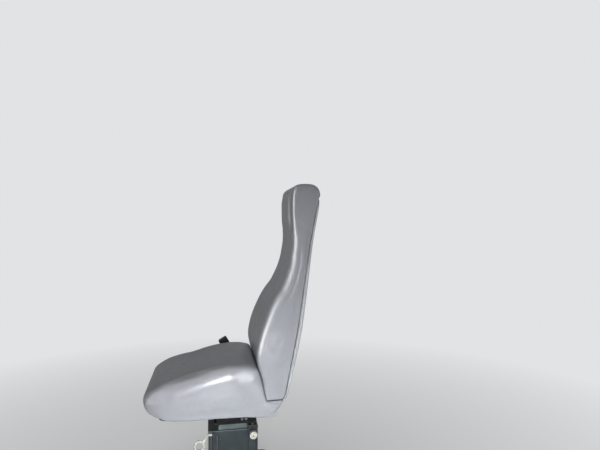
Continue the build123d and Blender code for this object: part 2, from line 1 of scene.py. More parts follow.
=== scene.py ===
# %% [markdown]
# # The attendant seat of an ambulance
# A high-backed vinyl seat slides on two tracks, and the tracks turn on a steel pedestal. The imported model
# gives every part its true size and place. This lesson keeps the metal parts as they are, gives them a
# finish, and builds the two upholstered cushions anew, because upholstery is what a plain solid shows
# worst.
#
# The first cell loads the imported model, and a helper reads the box of any of its parts.

# %% Load the imported seat
import json
import math
import bmesh
import bpy
import numpy as np
from mathutils import Matrix, Vector
from mathutils.kdtree import KDTree


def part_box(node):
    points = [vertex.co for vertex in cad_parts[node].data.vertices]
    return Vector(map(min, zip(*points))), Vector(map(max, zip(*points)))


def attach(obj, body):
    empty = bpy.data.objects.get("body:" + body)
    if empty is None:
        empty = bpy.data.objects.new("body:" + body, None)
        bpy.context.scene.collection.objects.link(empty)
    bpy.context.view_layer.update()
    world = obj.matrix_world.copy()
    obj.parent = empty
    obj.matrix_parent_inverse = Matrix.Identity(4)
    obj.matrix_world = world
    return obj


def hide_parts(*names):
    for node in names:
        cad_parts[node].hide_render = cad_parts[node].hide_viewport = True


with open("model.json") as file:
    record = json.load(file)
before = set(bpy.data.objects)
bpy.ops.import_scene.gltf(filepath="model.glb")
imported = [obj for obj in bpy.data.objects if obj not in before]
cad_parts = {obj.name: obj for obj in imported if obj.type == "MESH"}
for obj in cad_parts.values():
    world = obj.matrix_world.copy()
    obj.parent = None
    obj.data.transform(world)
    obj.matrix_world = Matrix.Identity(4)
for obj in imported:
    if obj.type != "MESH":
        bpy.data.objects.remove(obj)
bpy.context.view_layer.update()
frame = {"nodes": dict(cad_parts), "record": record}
scene = bpy.context.scene
MM = 0.001

# %% [markdown]
# ## Camera
# The seat is seen from its left side, nearly square on, by a lens at chest height. A camera that is aimed
# level keeps the pedestal's upright edges upright. The small shift moves the picture up without tilting the
# camera.

# %% Camera
EYE = Vector((1.995, -0.091, 1.030))
YAW = math.radians(11)
PICTURE_WIDTH = 600
FOCAL_PIXELS = 460
SENSOR = 36.0
RISE_PIXELS = 7


def placed(name, data):
    """A new object that shows some data, linked to the scene."""
    made = bpy.data.objects.new(name, data)
    scene.collection.objects.link(made)
    return made


camera = placed("camera", bpy.data.cameras.new("camera"))
camera.location = EYE
camera.rotation_euler = Vector((-math.cos(YAW), math.sin(YAW), 0)).to_track_quat("-Z", "Y").to_euler()
camera.data.sensor_width = SENSOR
camera.data.lens = SENSOR * FOCAL_PIXELS / PICTURE_WIDTH
camera.data.shift_y = RISE_PIXELS / PICTURE_WIDTH
scene.camera = camera
print("lens", round(camera.data.lens, 1), "mm")

# %% [markdown]
# ## Tools for building node materials
# A material is a small graph. Writing it by hand takes many lines, so one helper adds a node, sets what it
# is told and joins sockets, and another starts a material with its one Principled shader. Colours are given
# as they look on a screen, and turned into the linear values that Blender calculates with.

# %% Helpers for node graphs
def linear(red, green, blue):
    """A colour from 0 to 255 a channel, as Blender's linear values."""
    channels = [channel / 255 for channel in (red, green, blue)]
    return tuple(c / 12.92 if c <= 0.04045 else ((c + 0.055) / 1.055) ** 2.4 for c in channels) + (1.0,)


def toned(colour, factor, lift=0):
    """A screen colour made darker or lighter, as linear values."""
    return linear(*[min(255, channel * factor + lift) for channel in colour])


def add_node(tree, kind, inputs=None, **settings):
    """Adds a node of a kind, named without the ShaderNode that all kinds start with. Each input, by name or
    number, is given a value, or another node's socket to join it to."""
    node = tree.nodes.new("ShaderNode" + kind)
    for name, value in settings.items():
        setattr(node, name, value)
    for name, value in (inputs or {}).items():
        if isinstance(value, bpy.types.NodeSocket):
            tree.links.new(value, node.inputs[name])
        else:
            node.inputs[name].default_value = value
    return node


def mixed(tree, mask, first, second):
    """The socket of a colour that goes from the first to the second with a mask."""
    return add_node(tree, "Mix", {0: mask, 6: first, 7: second}, data_type="RGBA").outputs[2]


def ranged(tree, value, low, high, from_low=0.0, from_high=1.0):
    """The socket of a value brought from one range to another."""
    settings = {"Value": value, "From Min": from_low, "From Max": from_high, "To Min": low, "To Max": high}
    return add_node(tree, "MapRange", settings).outputs["Result"]


def times(tree, first, second, operation="MULTIPLY"):
    """The socket of two values multiplied, or joined by another operation."""
    return add_node(tree, "Math", {0: first, 1: second}, operation=operation).outputs[0]


def place_on(tree):
    """The socket of a point's place on its own piece, which stays with the piece as it moves."""
    return add_node(tree, "TexCoord").outputs["Object"]


def noise(tree, coords, scale, detail, **more):
    """The output sockets of a noise texture."""
    inputs = {"Vector": coords, "Scale": scale, "Detail": detail, **more}
    return add_node(tree, "TexNoise", inputs).outputs


def scale_for(tree, size):
    """The socket of the texture scale whose features have a size in metres."""
    return times(tree, 1.0, size, "DIVIDE")


def new_group(name, inputs, outputs):
    """A node group with number inputs and outputs, its tree, its inputs' sockets and its output node."""
    tree = bpy.data.node_groups.new(name, "ShaderNodeTree")
    for socket, value in inputs.items():
        made = tree.interface.new_socket(socket, in_out="INPUT", socket_type="NodeSocketFloat")
        made.default_value = value
    for socket in outputs:
        tree.interface.new_socket(socket, in_out="OUTPUT", socket_type="NodeSocketFloat")
    given = tree.nodes.new("NodeGroupInput").outputs
    return tree, given, tree.nodes.new("NodeGroupOutput")


def use_group(tree, name, **values):
    """Places a group in a material with its own values and gives its output sockets."""
    node = tree.nodes.new("ShaderNodeGroup")
    node.node_tree = bpy.data.node_groups[name]
    for socket, value in values.items():
        node.inputs[socket.replace("_", " ")].default_value = value
    return node.outputs


def new_finish(name, **shader_values):
    """A material with one Principled shader, whose constant values are set on its own sockets."""
    material = bpy.data.materials.new(name)
    material.use_nodes = True
    tree = material.node_tree
    shader = next(node for node in tree.nodes if node.type == "BSDF_PRINCIPLED")
    for socket, value in shader_values.items():
        shader.inputs[socket.replace("_", " ")].default_value = value
    return material, tree, shader


def wire(tree, shader, colour=None, roughness=None, height=None, relief=0.0002, metallic=None):
    """Joins what changes over a surface to the shader. A height of 1 stands for the relief, in metres."""
    if height is not None:
        bump = add_node(tree, "Bump", {"Height": height, "Distance": relief, "Strength": 1.0})
        tree.links.new(bump.outputs["Normal"], shader.inputs["Normal"])
    for socket, value in (("Base Color", colour), ("Roughness", roughness), ("Metallic", metallic)):
        if value is not None:
            tree.links.new(value, shader.inputs[socket])


# %% [markdown]
# ## Effects that several finishes share
# A real surface is never one colour. Four things happen to nearly all of these: broad patches that are a
# little lighter or darker, edges rubbed by hands and shoes, dust on whatever faces up, and the fine waves
# of sprayed paint. Each is a node group, made once and placed in every material with its own values. It
# puts out masks and heights only, so the shader stays in the material.

# %% Group: broad patches
tree, given, out = new_group("broad_patches", {"Size": 0.08, "Contrast": 1.0}, ["Mask"])
cloud = noise(tree, place_on(tree), scale_for(tree, given["Size"]), 3.0, Roughness=0.55)["Fac"]
centred = times(tree, cloud, 0.5, "SUBTRACT")
spread = times(tree, times(tree, centred, given["Contrast"]), 2.0)
clamped = add_node(tree, "Clamp", {"Value": times(tree, spread, 0.5, "ADD")})
tree.links.new(clamped.outputs[0], out.inputs["Mask"])

# %% [markdown]
# An edge is found by asking Cycles for the surface normal as if the edge were rounded, and comparing it
# with the real one: they differ only near an edge. Noise breaks the line up, because paint never rubs off
# evenly.

# %% Group: rubbed edges
tree, given, out = new_group("rubbed_edges", {"Radius": 0.0015, "Amount": 0.5, "Patch Size": 0.02}, ["Mask"])
rounded = add_node(tree, "Bevel", {"Radius": given["Radius"]}, samples=6).outputs["Normal"]
real = add_node(tree, "NewGeometry").outputs["Normal"]
likeness = add_node(tree, "VectorMath", {0: rounded, 1: real}, operation="DOT_PRODUCT")
turned = ranged(tree, likeness.outputs["Value"], 1.0, 0.0, 0.82, 0.995)
breakup = noise(tree, place_on(tree), scale_for(tree, given["Patch Size"]), 5.0)["Fac"]
rubbed = times(tree, breakup, times(tree, given["Amount"], 0.55), "ADD")
sharp = ranged(tree, times(tree, turned, rubbed), 0.0, 1.0, 0.42, 0.52)
tree.links.new(sharp, out.inputs["Mask"])

# %% Group: dust on what faces up
tree, given, out = new_group("settled_dust", {"Amount": 0.5, "Patch Size": 0.05}, ["Mask"])
surface = add_node(tree, "NewGeometry")
split = add_node(tree, "SeparateXYZ", {"Vector": surface.outputs["Normal"]})
upward = ranged(tree, split.outputs["Z"], 0.0, 1.0, 0.3, 0.95)
drift = noise(tree, place_on(tree), scale_for(tree, given["Patch Size"]), 6.0)["Fac"]
thick = ranged(tree, drift, 0.0, 1.0, 0.35, 0.75)
tree.links.new(times(tree, times(tree, upward, thick), given["Amount"]), out.inputs["Mask"])

# %% Group: the waves of a sprayed or moulded skin
tree, given, out = new_group("skin_waves", {"Size": 0.002}, ["Height"])
waves = noise(tree, place_on(tree), scale_for(tree, given["Size"]), 2.0)["Fac"]
tree.links.new(waves, out.inputs["Height"])
print("groups:", [group.name for group in bpy.data.node_groups])

# %% [markdown]
# ## Vinyl
# The cover is a coated fabric with a fine leather grain pressed into it: small raised cells with soft
# creases between them. A Voronoi texture that measures the distance to a cell's border gives the creases,
# and stretching its coordinates with a little noise keeps the cells from looking like a net. The skin is
# semi-gloss, with a bluish cast. The cushions and the edge bead share it, each in its own greys.

# %% Group: pressed leather grain
tree, given, out = new_group("pressed_grain", {"Cell Size": 0.0016}, ["Height", "Creases"])
coords = place_on(tree)
wander = noise(tree, coords, 260.0, 1.0)["Color"]
WANDER = (0.0012, 0.0012, 0.0012)
pushed = add_node(tree, "VectorMath", {0: wander, 1: WANDER, 2: coords}, operation="MULTIPLY_ADD")
inputs = {"Vector": pushed.outputs[0], "Scale": scale_for(tree, given["Cell Size"])}
cells = add_node(tree, "TexVoronoi", inputs, feature="DISTANCE_TO_EDGE")
crease = ranged(tree, cells.outputs["Distance"], 0.0, 1.0, 0.0, 0.16)
pores = noise(tree, coords, 2200.0, 1.0)["Fac"]
grain = times(tree, crease, times(tree, pores, 0.35), "ADD")
tree.links.new(grain, out.inputs["Height"])
tree.links.new(times(tree, 1.0, crease, "SUBTRACT"), out.inputs["Creases"])


# %% Finish: vinyl
def vinyl(name, light, dark, cell, gloss):
    """Vinyl between two greys, with cells of a given size and a middle roughness."""
    material, tree, shader = new_finish(name, Coat_Weight=0.3, Coat_Roughness=0.2, Specular_IOR_Level=0.55)
    patches = use_group(tree, "broad_patches", Size=0.11, Contrast=1.6)["Mask"]
    small = use_group(tree, "broad_patches", Size=0.018, Contrast=1.2)["Mask"]
    grain = use_group(tree, "pressed_grain", Cell_Size=cell)
    dust = use_group(tree, "settled_dust", Amount=0.09, Patch_Size=0.06)["Mask"]
    tone = times(tree, times(tree, patches, 0.7), times(tree, small, 0.3), "ADD")
    body = mixed(tree, tone, linear(*dark), linear(*light))
    # The creases of the pressed grain are coloured darker than the rest of the skin.
    crease_darkened = mixed(tree, times(tree, grain["Creases"], 0.35), body, toned(dark, 0.72))
    colour = mixed(tree, dust, crease_darkened, linear(176, 172, 162))
    rough = ranged(tree, tone, gloss + 0.05, gloss - 0.04)
    rough = times(tree, rough, times(tree, grain["Creases"], 0.08), "ADD")
    wire(tree, shader, colour, rough, grain["Height"], 0.00009)
    return material


cover_vinyl = vinyl("cover_vinyl", (172, 174, 179), (160, 162, 167), 0.0016, 0.29)
bead_vinyl = vinyl("bead_vinyl", (182, 186, 188), (168, 172, 174), 0.0012, 0.34)


# %% [markdown]
# ## Painted and bare metal
# The pedestal is painted slate, the swivel housing is a lighter slate, and the moving parts are black. One
# function makes all three: paint with skin waves, edges rubbed to primer and steel, and dust on its ledges.
# The bare parts are zinc-plated steel, whose dull spots come from noise, with fine scratches along the
# part.

# %% Finish: paint
def paint(name, colour, rough, wear, dusty, gloss_coat=0.0):
    """Sprayed paint that has worn through at its edges."""
    material, tree, shader = new_finish(name, Coat_Weight=gloss_coat, Coat_Roughness=0.25)
    patches = use_group(tree, "broad_patches", Size=0.05, Contrast=1.2)["Mask"]
    edges = use_group(tree, "rubbed_edges", Radius=0.0022, Amount=wear, Patch_Size=0.012)["Mask"]
    dust = use_group(tree, "settled_dust", Amount=dusty, Patch_Size=0.03)["Mask"]
    waves = use_group(tree, "skin_waves", Size=0.0016)["Height"]
    skin = mixed(tree, patches, toned(colour, 0.88), toned(colour, 1.08, 3))
    worn = mixed(tree, edges, skin, linear(128, 126, 122))
    shown = mixed(tree, dust, worn, linear(150, 143, 130))
    level = times(tree, ranged(tree, patches, rough - 0.05, rough + 0.07), times(tree, dust, 0.25), "ADD")
    wire(tree, shader, shown, level, waves, 0.00006, ranged(tree, edges, 0.0, 0.75))
    return material


base_paint = paint("base_paint", (51, 59, 62), 0.42, 0.42, 0.30, 0.15)
housing_paint = paint("housing_paint", (90, 102, 104), 0.40, 0.50, 0.40, 0.15)
black_paint = paint("black_paint", (12, 13, 15), 0.55, 0.30, 0.05)


# %% Finish: bare steel
def bare_metal(name, light, dark, rough, brush=(40.0, 900.0, 900.0)):
    """Plated steel with dull spots, and scratches that run along the seat's length or across it."""
    material, tree, shader = new_finish(name, Metallic=1.0)
    patches = use_group(tree, "broad_patches", Size=0.012, Contrast=1.8)["Mask"]
    edges = use_group(tree, "rubbed_edges", Radius=0.0012, Amount=0.6, Patch_Size=0.02)["Mask"]
    stretched = add_node(tree, "Mapping", {"Vector": place_on(tree), "Scale": brush})
    scratches = noise(tree, stretched.outputs[0], 1.0, 4.0)["Fac"]
    colour = mixed(tree, patches, linear(*dark), linear(*light))
    colour = mixed(tree, edges, colour, toned(light, 1, 18))
    level = times(tree, ranged(tree, patches, rough + 0.1, rough - 0.05), edges, "SUBTRACT")
    level = add_node(tree, "Clamp", {"Value": level, "Min": 0.18, "Max": 1.0}).outputs[0]
    wire(tree, shader, colour, level, scratches, 0.00003)
    return material


track_steel = bare_metal("track_steel", (168, 168, 166), (128, 128, 126), 0.36, (900.0, 30.0, 900.0))
fastener_steel = bare_metal("fastener_steel", (176, 175, 170), (136, 134, 128), 0.32)


# %% [markdown]
# ## Moulded plastic, dipped plastic and painted board
# The shell behind the cushions is thick sheet plastic with a leathery mould texture. The lever and the knob
# are dipped in white plastic that has yellowed a little and is grimy where fingers hold it. The seat board
# is plywood under black paint, so a stretched noise lifts its grain.

# %% Finish: plastics and board
def moulded(name, colour, rough, cell, relief, wear):
    """Moulded plastic with a pressed texture, rubbed paler at its edges."""
    material, tree, shader = new_finish(name, Specular_IOR_Level=0.45)
    patches = use_group(tree, "broad_patches", Size=0.07, Contrast=1.2)["Mask"]
    edges = use_group(tree, "rubbed_edges", Radius=0.0015, Amount=wear, Patch_Size=0.015)["Mask"]
    grain = use_group(tree, "pressed_grain", Cell_Size=cell)
    dust = use_group(tree, "settled_dust", Amount=0.35, Patch_Size=0.04)["Mask"]
    skin = mixed(tree, patches, toned(colour, 0.965), linear(*colour))
    rubbed = mixed(tree, edges, skin, toned(colour, 1.12, 14))
    shown = mixed(tree, dust, rubbed, linear(158, 152, 142))
    wire(tree, shader, shown, ranged(tree, patches, rough + 0.05, rough - 0.04), grain["Height"], relief)
    return material


shell_plastic = moulded("shell_plastic", (182, 187, 190), 0.44, 0.0022, 0.00008, 0.35)
black_plastic = moulded("black_plastic", (27, 27, 29), 0.42, 0.0010, 0.00004, 0.40)
red_plastic = moulded("red_plastic", (168, 24, 22), 0.34, 0.0012, 0.00002, 0.30)


def dipped(name, clean, grimy):
    """A thick dipped coating, dirty in patches where it is held."""
    material, tree, shader = new_finish(name, Coat_Weight=0.2, Coat_Roughness=0.2)
    patches = use_group(tree, "broad_patches", Size=0.016, Contrast=2.2)["Mask"]
    waves = use_group(tree, "skin_waves", Size=0.006)["Height"]
    edges = use_group(tree, "rubbed_edges", Radius=0.0012, Amount=0.3, Patch_Size=0.006)["Mask"]
    skin = mixed(tree, ranged(tree, patches, 0.0, 1.0, 0.3, 0.8), linear(*grimy), linear(*clean))
    shown = mixed(tree, edges, skin, linear(120, 112, 100))
    wire(tree, shader, shown, ranged(tree, patches, 0.42, 0.28), waves, 0.0002)
    return material


white_dip = dipped("white_dip", (216, 216, 208), (190, 187, 176))

painted_board, tree, shader = new_finish("painted_board")
along = add_node(tree, "Mapping", {"Vector": place_on(tree), "Scale": (240.0, 9.0, 120.0)})
veins = noise(tree, along.outputs[0], 1.0, 5.0, Distortion=0.8)["Fac"]
edges = use_group(tree, "rubbed_edges", Radius=0.003, Amount=0.6, Patch_Size=0.02)["Mask"]
black_coat = mixed(tree, veins, linear(20, 20, 21), linear(38, 37, 37))
shown = mixed(tree, edges, black_coat, linear(122, 96, 66))
wire(tree, shader, shown, ranged(tree, veins, 0.5, 0.72), veins, 0.0003)

FINISHES = {
    "grey_vinyl": cover_vinyl,
    "grey_shell": shell_plastic,
    "base_paint": base_paint,
    "housing_paint": housing_paint,
    "black_paint": black_paint,
    "black_board": painted_board,
    "black_plastic": black_plastic,
    "white_coating": white_dip,
    "bare_steel": fastener_steel,
}

# %% [markdown]
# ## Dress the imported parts
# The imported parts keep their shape. Each takes the finish of its slot in the record. A real edge is never a
# knife edge, so a Weld modifier joins the imported triangles and a narrow Bevel rounds what is sharper than
# 35 degrees, which gives every edge a thin line of light.

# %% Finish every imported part
EDGE_WIDTHS = {"floor_plate": 0.9, "seat_board": 1.2, "back_shell": 1.4}
EDGE_WIDTHS.update(belt_anchor=0.7, belt_stalk=0.7)
USUAL_EDGE = 0.5
EDGE_ANGLE = math.radians(35)
WELDED_BELOW = 0.00001
slot_of = {part["node"]: part["material_slot"] for part in frame["record"]["subparts"]}
print("slots:", sorted(set(slot_of.values())))
for name, node in frame["nodes"].items():
    finish = track_steel if name.startswith(("slide_track", "slide_runner")) else FINISHES[slot_of[name]]
    node.data.materials.clear()
    node.data.materials.append(finish)
    weld = node.modifiers.new("weld", "WELD")
    weld.merge_threshold = WELDED_BELOW
    bevel = node.modifiers.new("edges", "BEVEL")
    bevel.width = EDGE_WIDTHS.get(name, USUAL_EDGE) * MM
    bevel.segments = 2
    bevel.limit_method = "ANGLE"
    bevel.angle_limit = EDGE_ANGLE
    bevel.harden_normals = True


# %% [markdown]
# ## How a cushion is drawn
# Both cushions are the same kind of shape: a side outline stretched across the seat, with soft edges where
# the top meets the sides. A cage under a subdivision surface would do, but the soft edge is wide at the
# shoulders and tight at the heel, and a cage hides that. Here each ring of points is the outline drawn in
# along a rounded edge, so the edge radius is a plain number for every part of the outline. The edge follows
# a squared-off circle rather than a true one, because its curve fades out where it meets the flat, and
# light runs over it without a hard line. The two ends are filled with patches ruled between two edge lines,
# and the bend of the other two fades out across them.

# %% Lines and patches
def run_along(knots):
    """How far along a line each of its points lies."""
    return np.concatenate([[0], np.cumsum(np.linalg.norm(np.diff(knots, axis=0), axis=1))])


def through(points, count):
    """Even points along a smooth line through the given points."""
    knots = np.array(points, float)
    along = run_along(knots)
    slopes = np.gradient(knots, along, axis=0)
    fine = np.linspace(0, along[-1], 60 * len(knots))
    piece = np.clip(np.searchsorted(along, fine, side="right") - 1, 0, len(along) - 2)
    width = (along[piece + 1] - along[piece])[:, None]
    u = (fine - along[piece])[:, None] / width
    line = (
        (2 * u**3 - 3 * u**2 + 1) * knots[piece]
        + (u**3 - 2 * u**2 + u) * width * slopes[piece]
        + (3 * u**2 - 2 * u**3) * knots[piece + 1]
        + (u**3 - u**2) * width * slopes[piece + 1]
    )
    return straight(line, count)


def straight(points, count):
    """Even points along straight runs."""
    knots = np.array(points, float)
    run = run_along(knots)
    even = np.linspace(0, run[-1], count)
    return np.stack([np.interp(even, run, knots[:, axis]) for axis in range(knots.shape[1])], axis=1)


BEND_FADE = 5


def patch(first, last, start, end):
    """A grid of points inside four edge lines: first and last run along it, start and end run across it."""
    s = np.linspace(0, 1, len(first))[None, :, None]
    t = np.linspace(0, 1, len(start))[:, None, None]
    start_bend = start[:, None] - (1 - t) * start[0] - t * start[-1]
    end_bend = end[:, None] - (1 - t) * end[0] - t * end[-1]
    ruled = (1 - t) * first[None] + t * last[None]
    return ruled + (1 - s) ** BEND_FADE * start_bend + s**BEND_FADE * end_bend


def drawn_in(loop, depth):
    """A closed outline, given clockwise, moved inwards by a depth at each of its points."""
    ahead = np.roll(loop, -1, axis=0) - np.roll(loop, 1, axis=0)
    outward = np.stack([-ahead[:, 1], ahead[:, 0]], axis=1)
    outward /= np.linalg.norm(outward, axis=1, keepdims=True)
    return loop - outward * depth[:, None]


def grid_faces(bm, points):
    """Adds a grid of points to a mesh as quads."""
    rows = [[bm.verts.new(point) for point in row] for row in points]
    for upper, lower in zip(rows, rows[1:]):
        for i in range(len(upper) - 1):
            bm.faces.new((upper[i], upper[i + 1], lower[i + 1], lower[i]))


def new_piece(name, bm):
    """A smooth-shaded object from a finished mesh."""
    bmesh.ops.recalc_face_normals(bm, faces=bm.faces)
    for face in bm.faces:
        face.smooth = True
    mesh = bpy.data.meshes.new(name)
    bm.to_mesh(mesh)
    bm.free()
    return placed(name, mesh)


# %% A cushion from its side outline
EDGE_POWER = 2.3
EDGE_STEPS = 9
SAME_POINT = 0.00002


def cushion(name, edges, radius, half_width, middle, fill, bulge):
    """A closed cushion. Edges are the outline's pieces in order, radius is the edge radius at each outline
    point, and middle is the number of rings from the rounded edge on each side to the centre line."""
    loop = np.concatenate([edge[:-1] for edge in edges])
    rings = []
    for turn in np.linspace(0, math.pi / 2, EDGE_STEPS):
        ring = drawn_in(loop, radius * (1 - math.sin(turn) ** (2 / EDGE_POWER)))
        inset = radius * (1 - math.cos(turn) ** (2 / EDGE_POWER))
        rings.append(np.column_stack([half_width(ring) - inset, ring]))
    last = rings[-1]
    for share in np.linspace(1, 0, middle + 1)[1:]:
        rings.append(np.column_stack([last[:, 0] * share, loop]))
    mirrored = [ring * (-1, 1, 1) for ring in rings[:-1]]
    tube = np.array(rings + mirrored[::-1])
    tube = np.concatenate([tube, tube[:, :1]], axis=1)

    side = drawn_in(loop, radius)
    closed = np.concatenate([side, side[:1]])
    ends = np.cumsum([0] + [len(edge) - 1 for edge in edges])
    bm = bmesh.new()
    grid_faces(bm, tube * MM)
    for flat in fill([closed[a : b + 1] for a, b in zip(ends, ends[1:])]):
        down, back = (np.sin(np.linspace(0, np.pi, size)) ** 1.5 for size in flat.shape[:2])
        x = half_width(flat.reshape(-1, 2)).reshape(flat.shape[:2]) + bulge * np.outer(down, back)
        for side_x in (x, -x):
            grid_faces(bm, np.dstack([side_x, flat]) * MM)
    bmesh.ops.remove_doubles(bm, verts=bm.verts, dist=SAME_POINT)
    return new_piece(name, bm)


def blended(radii):
    """Edge radii round an outline, each averaged with its neighbours."""
    return sum(np.roll(radii, shift) for shift in (-2, -1, 0, 1, 2)) / 5


def edge_radii(edges, ends):
    """The edge radius at each outline point, from the radii at the ends of each of the outline's pieces."""
    return blended(np.concatenate([np.linspace(a, b, len(edge))[:-1] for edge, (a, b) in zip(edges, ends)]))


# %% Reading and moving a mesh's points
def points_of(piece, layer="co"):
    """A mesh's points in millimetres, or its normals, as an array."""
    flat = np.zeros(len(piece.data.vertices) * 3)
    piece.data.vertices.foreach_get(layer, flat)
    return flat.reshape(-1, 3) / (MM if layer == "co" else 1)


def set_points(piece, points):
    """Puts a mesh's points where an array in millimetres says."""
    piece.data.vertices.foreach_set("co", (points * MM).ravel())
    piece.data.update()


def evaluated(piece):
    """A piece as its modifiers leave it."""
    return piece.evaluated_get(bpy.context.evaluated_depsgraph_get())


def with_modifier(piece, kind, **settings):
    """The mesh that a modifier makes of a piece."""
    modifier = piece.modifiers.new("step", kind)
    for name, value in settings.items():
        setattr(modifier, name, value)
    mesh = bpy.data.meshes.new_from_object(evaluated(piece))
    piece.modifiers.remove(modifier)
    return mesh


def fade(value, start, end):
    """Goes smoothly from 0 at the start to 1 at the end."""
    share = np.clip((value - start) / (end - start), 0, 1)
    return share * share * (3 - 2 * share)


# %% [markdown]
# ## Stretching the cover
# A drawn surface is too even for upholstery. Foam pushes a cover outwards between the lines where it is
# held, and Blender's cloth does the same when it is given pressure and no gravity. The drawn mesh has very
# small faces at its edges, which cloth handles badly, so a voxel copy with even faces is simulated instead.
# Only the way its points moved is carried over: each drawn point takes the mean of its nearest neighbours,
# with a cap in millimetres, so the outline stays as measured. Points on hard parts are held.

# %% Cloth under pressure
VOXEL = 9.0
FRAMES = 22
NEAREST = 8
REACH = 1.3 * VOXEL
CLOTH = {
    "vertex_group_mass": "held",
    "quality": 5,
    "mass": 0.25,
    "air_damping": 4,
    "tension_stiffness": 30,
    "compression_stiffness": 30,
    "shear_stiffness": 12,
    "bending_stiffness": 6,
    "use_pressure": True,
}


def settled(piece, held, pressure, cap, tightness):
    """Lets foam pressure settle a voxel copy of a cover, and moves the cover's points as that moved."""
    copy = placed("cloth_copy", with_modifier(piece, "REMESH", mode="VOXEL", voxel_size=VOXEL * MM))
    drawn = points_of(copy)
    group = copy.vertex_groups.new(name="held")
    group.add([int(i) for i in np.flatnonzero(held(drawn))], 1.0, "REPLACE")
    cloth = copy.modifiers.new("cover", "CLOTH")
    for name, value in CLOTH.items():
        setattr(cloth.settings, name, value)
    cloth.settings.shrink_min = tightness
    cloth.settings.uniform_pressure_force = pressure
    cloth.settings.effector_weights.gravity = 0
    cloth.point_cache.frame_end = FRAMES
    for step in range(1, FRAMES + 1):
        scene.frame_set(step)
    moved = np.array([vertex.co for vertex in evaluated(copy).data.vertices]) / MM - drawn
    scene.frame_set(1)
    bpy.data.objects.remove(copy)

    tree = KDTree(len(drawn))
    for i, point in enumerate(drawn):
        tree.insert(point, i)
    tree.balance()
    points = points_of(piece)
    shift = np.zeros_like(points)
    for i, point in enumerate(points):
        near = tree.find_n(point, NEAREST)
        weights = np.exp([-((far / REACH) ** 2) for _, _, far in near])
        shift[i] = weights @ moved[[k for _, k, _ in near]] / weights.sum()
    length = np.linalg.norm(shift, axis=1, keepdims=True)
    set_points(piece, points + shift * cap / np.maximum(length, cap))
    print(piece.name, "moved up to", round(float(length.max()), 1), "mm before the cap of", cap)


# %% Dents and folds
def dented(piece, dents):
    """Pushes a surface in or out along its normals, at places with three radii and a depth, in mm."""
    points, normals = points_of(piece), points_of(piece, "normal")
    depth = np.zeros(len(points))
    for place, radii, deep in dents:
        depth += deep * np.exp(-(((points - place) / radii) ** 2).sum(axis=1))
    set_points(piece, points - normals * depth[:, None])


FOLD_POINTS = 24
CREST = 1.25
HOLLOW = 0.35
HOLLOW_REACH = 2.2


def folded(piece, folds):
    """Raises ridges along short lines, each given as its points, its width and its height, in mm. A ridge is
    a crest with a shallow hollow on both sides."""
    points, normals = points_of(piece), points_of(piece, "normal")
    height = np.zeros(len(points))
    for line, width, high in folds:
        line = through(line, FOLD_POINTS)
        gaps = np.linalg.norm(points[:, None] - line[None], axis=2)
        nearest = gaps.argmin(axis=1)
        gap = gaps[np.arange(len(points)), nearest] / width
        taper = np.sin(np.pi * (nearest + 0.5) / len(line)) ** 0.8
        ridge = CREST * np.exp(-(gap**2)) - HOLLOW * np.exp(-((gap / HOLLOW_REACH) ** 2))
        height += high * taper * ridge
    set_points(piece, points + normals * height[:, None])


# %% [markdown]
# ## The seat cushion
# It is a thick moulded cushion with a waterfall front, and its cover runs on behind and under the backrest
# as a heel. The outline is that side view, clockwise, cut where the end patches need corners. The heel is a
# block of its own behind the toe of the backrest, so its patch shares one column of points with the main
# one.

# %% Seat cushion: outline and widths
SEAT_HALF = 245.0
CHIN = (-290.0, 341.0)
BROW_OF_SEAT = (-322.0, 429.5)
SEAT_CORNER = (93.0, 496.0)
TOE = (120.0, 381.4)
HEEL_FOOT = (184.0, 381.4)
HEEL_KNEE = (160.4, 342.0)
HEEL_ROOT = (112.0, 320.7)
TOP_LINE = [
    BROW_OF_SEAT, (-298, 442), (-250, 459.5), (-200, 473), (-150, 486.5), (-110, 498), (-47, 511), (10, 516),
    (60, 512), (84, 504), SEAT_CORNER,
]
seat_top = through(TOP_LINE, 57)
seat_lap = through([SEAT_CORNER, (98.5, 476), (103, 458), (107.4, 441), (113.4, 410), (117.4, 391), TOE], 15)
heel_top = straight([TOE, HEEL_FOOT], 9)
heel_back = straight([HEEL_FOOT, HEEL_KNEE], 7)
heel_under = through([HEEL_KNEE, (149, 330), (135, 322), HEEL_ROOT], 9)
seat_under = through([HEEL_ROOT, (84, 320.8), (55, 323.5), (-60, 325), (-180, 325), (-240, 329), CHIN], 57)
seat_nose = through([CHIN, (-318, 354), (-337, 373), (-345, 396), (-338.5, 416), BROW_OF_SEAT], 21)
seat_edges = [seat_top, seat_lap, heel_top, heel_back, heel_under, seat_under, seat_nose]


FRONT_CORNER_START = -262
FRONT_CORNER_LENGTH = 84
FRONT_CORNER_DEPTH = 46
LEAN_START = 385
LEAN_HEIGHT = 125
LEAN_DEPTH = 9


def seat_half_width(outline):
    """Half the seat's width at each outline point. Its front corners are round and its sides lean in."""
    ahead = np.clip((FRONT_CORNER_START - outline[:, 0]) / FRONT_CORNER_LENGTH, 0, 1)
    above = np.clip((outline[:, 1] - LEAN_START) / LEAN_HEIGHT, 0, 1)
    return SEAT_HALF - FRONT_CORNER_DEPTH * (1 - np.sqrt(1 - ahead**2)) - LEAN_DEPTH * above**2


def seat_side(pieces):
    """The patches that fill the seat's side: the main block, and the heel behind the toe."""
    top, lap, heel_over, heel_rear, heel_below, under, nose = pieces
    column = straight([lap[-1], heel_below[-1]], 7)
    main = patch(top, under[::-1], nose[::-1], np.concatenate([lap, column[1:]]))
    heel = patch(heel_over, heel_below[::-1], column, heel_rear)
    return [main, heel]


EASING_PASSES = ((1.0, 12), (0.85, 25), (0.7, 25))
ALL_WAYS = {"use_axis_x": True, "use_axis_y": True, "use_axis_z": True}


